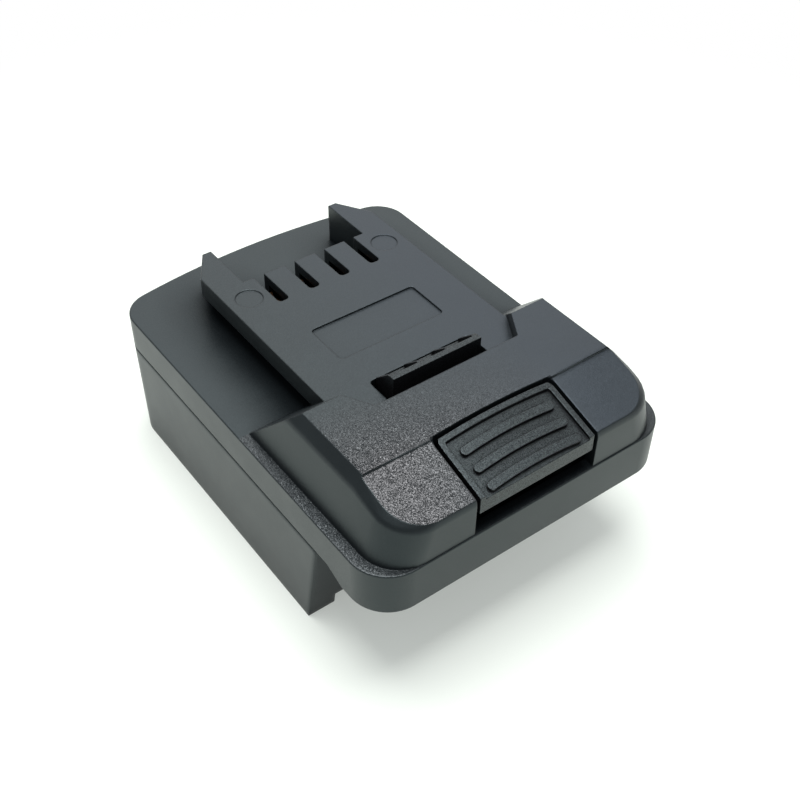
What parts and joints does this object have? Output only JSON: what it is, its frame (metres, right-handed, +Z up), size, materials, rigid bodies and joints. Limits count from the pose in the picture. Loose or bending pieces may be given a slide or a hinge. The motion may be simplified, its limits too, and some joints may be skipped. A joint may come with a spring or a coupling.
{
  "type": "tool battery adapter",
  "caption": "Slide-on battery adapter with a T-rail and spring clips on top, a push-button spring latch on a sloped hump, and a lipped battery receiver with blades below.",
  "frame": {"origin": "middle of the footprint, on the plane that the bottom rim stands on", "axes": "+Y from the release button to the rear end, +Z up from the battery receiver to the tool rail"},
  "size_m": [0.078, 0.108, 0.049],
  "materials": {
    "housing_black": "black glass-filled plastic, satin with a spark-eroded hump",
    "latch_black": "black acetal, fine satin",
    "spring_steel": "drawn spring wire",
    "carrier_plastic": "black insulating plastic",
    "clip_bronze": "rolled phosphor bronze",
    "blade_brass": "tinned brass stamping",
    "lead_red": "silicone insulation",
    "lead_yellow": "silicone insulation",
    "lead_white": "silicone insulation",
    "lead_black": "silicone insulation",
    "screw_steel": "black oxide steel"
  },
  "bodies": {
    "housing": {"upper_housing": "housing_black", "lower_housing": "housing_black", "latch_spring_left": "spring_steel", "latch_spring_right": "spring_steel", "clip_carrier": "carrier_plastic", "positive_clip": "clip_bronze", "signal_clip_left": "clip_bronze", "signal_clip_right": "clip_bronze", "negative_clip": "clip_bronze", "blade_carrier": "carrier_plastic", "positive_blade": "blade_brass", "signal_blade_left": "blade_brass", "signal_blade_right": "blade_brass", "negative_blade": "blade_brass", "positive_lead": "lead_red", "signal_lead_left": "lead_yellow", "signal_lead_right": "lead_white", "negative_lead": "lead_black", "housing_screws": "screw_steel", "carrier_screws": "screw_steel"},
    "latch": {"release_latch": "latch_black"}
  },
  "joints": [
    {"name": "latch_press", "type": "slide", "parent": "housing", "child": "latch", "axis": [0, 0, -1], "range_m": [0, 0.0046], "stiffness_N_per_m": 1200, "springref_m": -0.004, "deforming": ["latch_spring_left", "latch_spring_right"]}
  ]
}
